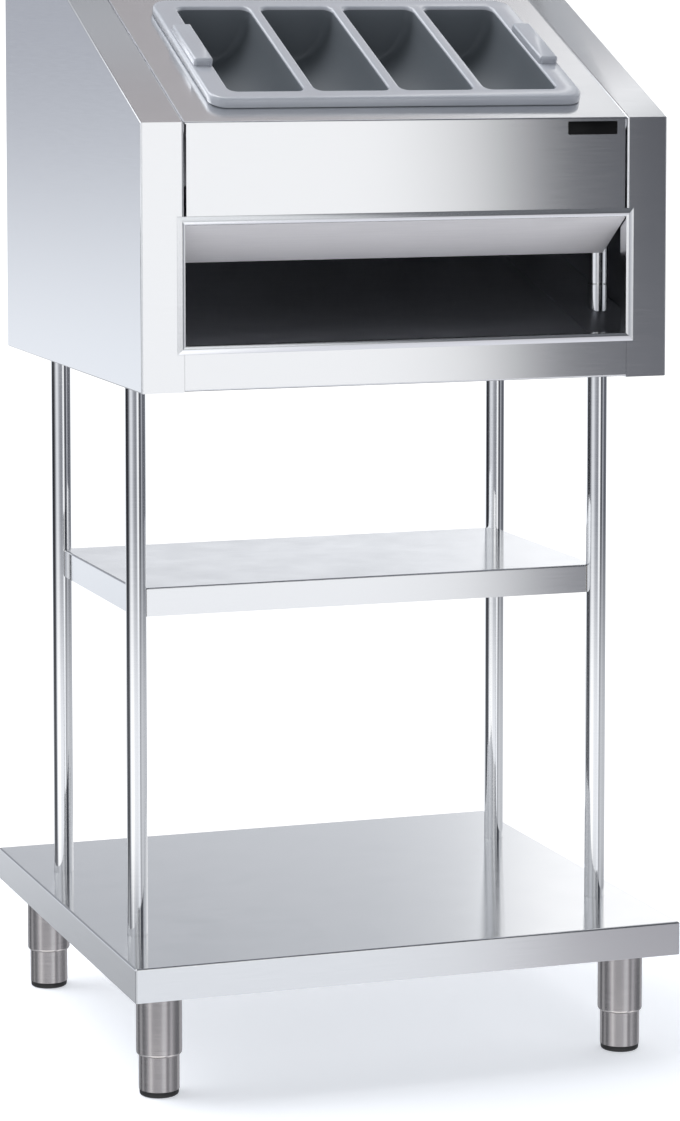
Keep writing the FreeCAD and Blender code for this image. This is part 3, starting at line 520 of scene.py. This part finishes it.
# Inside its cups the mould is spark-eroded, so the same plastic is duller there. Its colour there
# is also much darker than the rim's: painted shade for the deep cups.
cup_plastic_painted_shade = plastic("grey polypropylene, eroded, painted shade", "747A80", "6C7278", roughness=0.45,
                   grain=1.1, height=0.04)

SEAT = Vector((0.0, -167.8, 1383.97))   # middle of the container's seat on the sloping deck
CONTAINER_LENGTH = 530.0
CONTAINER_WIDTH = 325.0
CONTAINER_CORNER = 28.0
RIM_BOTTOM = 0.3
RIM_TOP = 14.3
RIM_ROUND = 4.5
RIM_FOOT = 1.8          # round of the rim's lower edge
RIM_FOOT_EDGE = 0.6
CUP_SPANS = ((-233.5, -128.75), (-112.75, -8.0), (8.0, 112.75), (128.75, 233.5))
CUP_HALF_WIDTH = 136.5
CUP_CORNER = 10.0
CUP_FOOT_ROUND = 12.0   # between a cup's ends and its bottom
TROUGH_START = -3.0     # below this the cup's sides curve in, down to its round bottom
TROUGH_DEPTH = 67.0
# LIP_BAND: the duller finish and the cups' painted shade start this far below the lip's round.
LIP_BAND = 0.5          # the eroded finish starts this far below the lip's round
TROUGH_ARC = [math.radians(7.2 * i) for i in range(1, 13)]
EDGE_ARC = [math.radians(15 * i) for i in range(1, 7)]
MOULD_WALL = 3.0


def rounded_loop(shape, half_x, half_y, radius, z, x=0.0):
    """Edges of a rounded rectangle at one height."""
    made = bmesh.ops.create_grid(shape, x_segments=1, y_segments=1, size=1.0)
    bmesh.ops.scale(shape, vec=(half_x, half_y, 1.0), verts=made["verts"])
    bmesh.ops.translate(shape, vec=(x, 0.0, z), verts=made["verts"])
    bmesh.ops.bevel(shape, geom=made["verts"], offset=radius, offset_type="OFFSET",
                    segments=8, profile=0.5, affect="VERTICES", material=-1)
    face = next(f for f in shape.faces if all(abs(v.co.z - z) < NEAR for v in f.verts)
                and abs(f.calc_center_median().x - x) < 1.0)
    edges = list(face.edges)
    bmesh.ops.delete(shape, geom=[face], context="FACES_ONLY")
    return edges


mould = bmesh.new()
half_length = CONTAINER_LENGTH / 2
half_width = CONTAINER_WIDTH / 2
rim = rounded_loop(mould, half_length - RIM_ROUND, half_width - RIM_ROUND,
                   CONTAINER_CORNER - RIM_ROUND, RIM_TOP)
plate_edges = list(rim)
lips = []
for start, end in CUP_SPANS:
    middle = (start + end) / 2
    half_x = (end - start) / 2
    lip = rounded_loop(mould, half_x + RIM_ROUND, CUP_HALF_WIDTH + RIM_ROUND,
                       CUP_CORNER + RIM_ROUND, RIM_TOP, middle)
    plate_edges += lip
    lips.append((lip, middle, half_x))
bmesh.ops.triangle_fill(mould, use_beauty=True, use_dissolve=False, edges=plate_edges,
                        normal=(0, 0, 1))
stepped(mould, rim, 0.0, [
    *((half_length - RIM_ROUND + RIM_ROUND * math.sin(a),
       half_width - RIM_ROUND + RIM_ROUND * math.sin(a),
       RIM_TOP - RIM_ROUND + RIM_ROUND * math.cos(a)) for a in EDGE_ARC),
    (half_length, half_width, RIM_BOTTOM + RIM_FOOT),
    (half_length - RIM_FOOT_EDGE, half_width - RIM_FOOT_EDGE, RIM_BOTTOM + RIM_FOOT_EDGE),
    (half_length - RIM_FOOT, half_width - RIM_FOOT, RIM_BOTTOM),
])
for lip, middle, half_x in lips:
    steps = [(half_x + RIM_ROUND * (1 - math.sin(a)),
              CUP_HALF_WIDTH + RIM_ROUND * (1 - math.sin(a)),
              RIM_TOP - RIM_ROUND + RIM_ROUND * math.cos(a)) for a in EDGE_ARC]
    steps.append((half_x, CUP_HALF_WIDTH, TROUGH_START))
    for a in TROUGH_ARC:
        rise = TROUGH_DEPTH * (1 - math.sin(a))
        inset = 0.0
        if rise < CUP_FOOT_ROUND:
            inset = CUP_FOOT_ROUND - math.sqrt(CUP_FOOT_ROUND ** 2 - (CUP_FOOT_ROUND - rise) ** 2)
        steps.append((half_x * math.cos(a), CUP_HALF_WIDTH - inset,
                      TROUGH_START - TROUGH_DEPTH * math.sin(a)))
    foot = stepped(mould, lip, middle, steps)
    bmesh.ops.contextual_create(mould, geom=foot)
# Faces inside the cups, below the lip, take the second material: duller, and darker as painted
# shade.
for face in mould.faces:
    face.material_index = int(face.calc_center_median().z < RIM_TOP - RIM_ROUND - LIP_BAND
                              and max(abs(v.co.y) for v in face.verts)
                              < CUP_HALF_WIDTH + 2 * LIP_BAND)
bmesh.ops.recalc_face_normals(mould, faces=mould.faces)
top_face = max(mould.faces, key=lambda f: f.calc_center_median().z)
if top_face.normal.z < 0:
    bmesh.ops.reverse_faces(mould, faces=mould.faces)

# The rib that drops into the deck's cut-out.
RIB_X = 250.0
RIB_Y = 147.5
RIB_CORNER = 20.5
RIB_GAP = 0.2
RIB_BOTTOM = -20.0
rib = rounded_loop(mould, RIB_X, RIB_Y, RIB_CORNER, RIM_TOP - MOULD_WALL - RIB_GAP)
stepped(mould, rib, 0.0, [(RIB_X, RIB_Y, RIB_BOTTOM)])
bmesh.ops.solidify(mould, geom=mould.faces, thickness=MOULD_WALL)

# A grip on each short side: a raised bar as wide as the rim, with a finger recess in its front.
GRIP_INNER = 235.0
GRIP_OUTER = 261.5
GRIP_HALF = 58.0
GRIP_HIGH = 10.5
GRIP_SUNK = 4.0
GRIP_ROUND = 3.6
GRIP_END_AREA = 60.0    # mm2: its flat end is larger than the small faces of its rounds
RECESS_BORDER = 1.4
RECESS_EDGE = 0.2
RECESS_TAPER = 0.8
RECESS_DEPTH = 1.6
for side in (-1, 1):
    made = bmesh.ops.create_cube(mould, size=1.0)["verts"]
    bmesh.ops.scale(mould, vec=(GRIP_OUTER - GRIP_INNER, 2 * GRIP_HALF, GRIP_HIGH + GRIP_SUNK),
                    verts=made)
    bmesh.ops.translate(mould, vec=(side * (GRIP_INNER + GRIP_OUTER) / 2, 0.0,
                                    RIM_TOP + (GRIP_HIGH - GRIP_SUNK) / 2), verts=made)
    soft = [e for e in {e for v in made for e in v.link_edges}
            if max(v.co.z for v in e.verts) > RIM_TOP]
    bmesh.ops.bevel(mould, geom=soft, offset=GRIP_ROUND, offset_type="OFFSET", segments=4,
                    profile=0.5, affect="EDGES", material=-1)
    end = min((f for f in mould.faces if f.calc_center_median().x * side > GRIP_INNER
               and f.calc_center_median().z > RIM_TOP and len(f.verts) == 4
               and f.normal.y < -SAME_WAY and f.calc_area() > GRIP_END_AREA),
              key=lambda f: f.calc_center_median().y)
    bmesh.ops.inset_individual(mould, faces=[end], thickness=RECESS_BORDER, depth=-RECESS_EDGE)
    bmesh.ops.inset_individual(mould, faces=[end], thickness=RECESS_TAPER, depth=-RECESS_DEPTH)
seat = Matrix.Translation(SEAT) @ Matrix.Rotation(SLOPE, 4, "X")
container = finished("moulded_container", mould, grey_moulding, "cutlery_container",
                     ["cutlery_container"], seat, sharp=32)
# The cups' second material carries their painted shade.
container.data.materials.append(cup_plastic_painted_shade)

# ---- Floor, light and camera -----------------------------------------------------------------
# A white paper floor in a studio. A large soft box stands in front and another behind on the
# right, with black flags beside them for the dark lines in the polished tubes. The camera stands
# at eye level on the left and looks a little down.

FLOOR_RADIUS = 1.05
floor_mesh = bpy.data.meshes.new("studio_floor")
shape = bmesh.new()
bmesh.ops.create_circle(shape, cap_ends=True, segments=96, radius=FLOOR_RADIUS)
shape.to_mesh(floor_mesh)
shape.free()
floor = bpy.data.objects.new("studio_floor", floor_mesh)
bpy.context.scene.collection.objects.link(floor)
# Matt white paper, lit from below so that only soft shadows show on it.
paper = bpy.data.materials.new("white paper floor")
paper.use_nodes = True
paper_shader = paper.node_tree.nodes["Principled BSDF"]
paper_shader.inputs["Base Color"].default_value = colour("EEF0F3")
paper_shader.inputs["Roughness"].default_value = 0.9
paper_shader.inputs["Specular IOR Level"].default_value = 0.2
paper_shader.inputs["Emission Color"].default_value = colour("F6F9FE")
paper_shader.inputs["Emission Strength"].default_value = 0.51
floor_mesh.materials.append(paper)
floor.visible_glossy = False   # the bright metal mirrors the studio, not this small sheet
floor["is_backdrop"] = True

world = bpy.data.worlds.new("studio")
bpy.context.scene.world = world
world.use_nodes = True
room = world.node_tree
background = room.nodes["Background"]
direction = add(room, "ShaderNodeTexCoord").outputs["Generated"]
axes = add(room, "ShaderNodeSeparateXYZ", links={"Vector": direction})
flip = add(room, "ShaderNodeMath", {"operation": "MULTIPLY"}, values={1: -1.0},
           links={0: axes.outputs["Y"]})
turn = add(room, "ShaderNodeMath", {"operation": "ARCTAN2"},
           links={0: axes.outputs["X"], 1: flip.outputs["Value"]})
round_share = add(room, "ShaderNodeMapRange",
                  values={"From Min": -math.pi, "From Max": math.pi},
                  links={"Value": turn.outputs["Value"]}).outputs["Result"]
rise = add(room, "ShaderNodeMath", {"operation": "ARCSINE"}, links={0: axes.outputs["Z"]})
height = add(room, "ShaderNodeMath", {"operation": "DEGREES"},
             links={0: rise.outputs["Value"]}).outputs["Value"]


def ring(stops, gain=1.0):
    """Light all round: degrees from the front towards the right, level, and a gain if any."""
    made = add(room, "ShaderNodeValToRGB", links={"Fac": round_share})
    elements = made.color_ramp.elements
    while len(elements) > 1:
        elements.remove(elements[-1])
    for degrees, level, *more in stops:
        place = (degrees + 180) / 360
        stop = elements[0] if degrees == stops[0][0] else elements.new(place)
        stop.position = place
        stop.color = [part * gain * (more[0] if more else 1.0) for part in colour(level)]
    return made.outputs["Color"]


def between(lower, upper, low_degrees, high_degrees):
    """Passes from one light to another as the eye goes up through these heights."""
    share = add(room, "ShaderNodeMapRange", {"interpolation_type": "SMOOTHSTEP"},
                values={"From Min": low_degrees, "From Max": high_degrees},
                links={"Value": height})
    return add(room, "ShaderNodeMix", {"data_type": "RGBA"},
               links={"Factor": share.outputs["Result"], "A": lower, "B": upper}).outputs["Result"]


own_shadow = ring([(-180, "7A7C80")])
under_floor = ring([
    (-180, "9A9CA0"), (-140, "8A8C90"), (-80, "C8CACE"), (-60, "FFFFFF"), (21.2, "FFFFFF"),
    (22.4, "BCBDC3"), (44, "BCBDC3"), (54, "FFFFFF"), (60, "FFFFFF"),
    (80, "B0B2B6"), (140, "8A8C90"), (180, "9A9CA0"),
], 1.5)
near_floor = ring([
    (-180, "A4A6AA"), (-150, "A4A6AA"), (-140, "4C4E53"), (-132, "86888D"), (-126, "B4B6BA"),
    (-114, "B4B6BA"), (-106, "74767B"), (-92, "74767B"), (-78, "9A9CA2"), (-63, "E8EAEE"),
    (-50, "A0A2A8"), (-20, "96989E"), (-5, "AEB0B6"), (4, "D4D8DE"), (20.5, "D4D8DE"),
    (21.5, "D6D8DC"), (22.4, "CECDD2"), (24, "CAC8CC"), (34, "8A8C92"), (50, "C8CAD0"),
    (62, "96989E"), (80, "74767B"), (104, "74767B"), (112, "B4B6BA"), (130, "B4B6BA"),
    (140, "96989E"), (150, "A4A6AA"), (180, "A4A6AA"),
])
paper_round = ring([
    (-180, "D4D7DC"), (-150, "D4D7DC"), (-144, "404246"), (-134, "3A3C40"), (-126, "5C5E62"),
    (-114, "5C5E62"), (-106, "3A3C40"), (-98, "6E7076"), (-86, "E8EAEE"), (-76, "FFFFFF", 1.15),
    (-46, "FFFFFF", 1.15), (-36, "F4F6FA"), (0, "F0F2F6"), (4, "F8FAFE"), (20.9, "F8FAFE"),
    (22.1, "787A80"), (24, "80828A"), (30, "B4B6BA"), (50, "D0D2D6"), (62, "C8CACE"),
    (78, "C4C6CA"), (140, "BEC0C6"), (150, "D4D7DC"), (180, "D4D7DC"),
])
low_room = ring([
    (-180, "F0F4FA"), (-155, "F0F4FA"), (-150, "75777E"), (-144, "2E2F33"), (-112, "2C2D31"),
    (-102, "4C4E53"), (-90, "8A8C92"), (-78, "D0D2D6"), (-62, "E4E6EA"), (-50, "D0D2D8"),
    (-38, "A8AAB0"), (-24, "8C8E94"), (-8, "82848A"), (-1, "B0B2B8"), (4, "F4F6FA"),
    (21.75, "FFFFFF"), (22.6, "64666C"), (33, "5E6066"), (42, "34363C"), (47, "666870"),
    (53, "B6B8BE"), (62, "96989E"), (76, "5C5E66"), (95, "56585F"), (118, "7A7C82"),
    (150, "E8ECF2"), (180, "F0F4FA"),
])
eye_level = ring([
    (-180, "A8ABB4"), (-158, "A2A5AE"), (-148, "C8CACE"), (-120, "E8EAED", 1.3),
    (-60, "E8EAED", 1.3), (-34, "A0A2A6"), (-28, "FFFFFF", 1.5), (-9, "FFFFFF", 1.5),
    (-4, "A0A2A6"), (8, "A0A2A6"), (13.5, "FFFFFF"), (20.85, "FFFFFF"), (21.45, "44464C"),
    (30, "3C3E44"), (46, "3A3C42"), (50, "CCCED4"), (55, "CCCED4"), (58, "FFFFFF", 1.2),
    (65, "FFFFFF", 1.2), (75, "9A9CA2"), (110, "9A9CA2"), (148, "F2F4F8", 1.1),
    (164, "F2F4F8", 1.1), (174, "D0D2DA"), (180, "A8ABB4"),
])
back_box = ring([
    (-180, "8E9095"), (-130, "A4A6AA"), (-60, "C4C6CA"), (0, "8A8C90"), (20, "8E9094"),
    (23, "404248"), (46, "505258"), (60, "A8AAAE"), (92, "E0E2E6"), (120, "FFFFFF"),
    (157.2, "FFFFFF", 1.15), (159.2, "B8BBC0"), (163, "A6A9AF"), (167, "A0A3A9"),
    (180, "8E9095"),
])
high_band = ring([
    (-180, "8E9094"), (-156, "B4B6BA"), (-147, "F0F2F5", 1.3), (-100, "F0F2F5", 1.3),
    (-84, "8A8C90"), (-30, "707276"), (-2, "606266"), (8, "D0D2D4"), (21.2, "D0D2D4"),
    (22.4, "585A5E"), (44, "585A5E"), (70, "A8AAAE"), (100, "D0D2D5"), (136, "C0C2C5"),
    (145.6, "8E9094"), (146.8, "D0D2D4"), (148, "D0D2D4"), (149, "8E9094"), (180, "8E9094"),
], 1.5)
ceiling = ring([
    (-180, "707174"), (-156, "96979A"), (-146, "E8E9EC", 3.6), (-100, "E8E9EC", 3.6),
    (-84, "808286"), (-40, "58595C"), (0, "404145"), (60, "505156"), (92, "A4A6A8"),
    (145.6, "A4A6A8"), (146.3, "C8CBCD"), (146.8, "FFFFFF", 2.0), (147.2, "FFFFFF", 2.2),
    (147.9, "FFFFFF", 2.0), (148.25, "DADADC"), (148.6, "BCB7B9"), (150.5, "AAA6A8"),
    (165, "A09B9D"), (175, "989698"), (180, "707174"),
])
top_box = ring([
    (-180, "FFFFFF"), (-60, "FFFFFF"), (-35, "303238"), (70, "303238"), (110, "A0A2A8"),
    (150, "FFFFFF"), (180, "FFFFFF"),
], 3.1)
light = own_shadow
for upper, low_degrees, high_degrees in (
    (under_floor, -72, -58),
    (near_floor, -36, -28),
    (paper_round, -14.5, -12.7),
    (low_room, -11.5, -7.5),
    (eye_level, -6.0, -0.5),
    (back_box, 10, 12.5),
    (high_band, 20, 24),
    (ceiling, 36, 42),
    (top_box, 62, 72),
):
    light = between(light, upper, low_degrees, high_degrees)
# Seen straight, the room is plain white.
seen = add(room, "ShaderNodeLightPath").outputs["Is Camera Ray"]
shown = add(room, "ShaderNodeMix", {"data_type": "RGBA"}, values={"B": (1.0, 1.0, 1.0, 1.0)},
            links={"Factor": seen, "A": light})
room.links.new(shown.outputs["Result"], background.inputs["Color"])
background.inputs["Strength"].default_value = 1.2

lens = bpy.data.cameras.new("camera")
camera = bpy.data.objects.new("camera", lens)
bpy.context.scene.collection.objects.link(camera)
bpy.context.scene.camera = camera
lens.sensor_width = 36.0
lens.lens = 119.455
lens.shift_x = -0.00852
lens.shift_y = -0.22
lens.clip_start = 0.05
lens.clip_end = 60.0
LOOK_DOWN = 4.839
TURN_RIGHT = 19.158
camera.location = (-1.6965, -4.9896, 1.4628)
camera.rotation_euler = (math.radians(90 - LOOK_DOWN), 0.0, math.radians(-TURN_RIGHT))

bpy.context.scene.view_settings.view_transform = "Standard"

low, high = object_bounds()
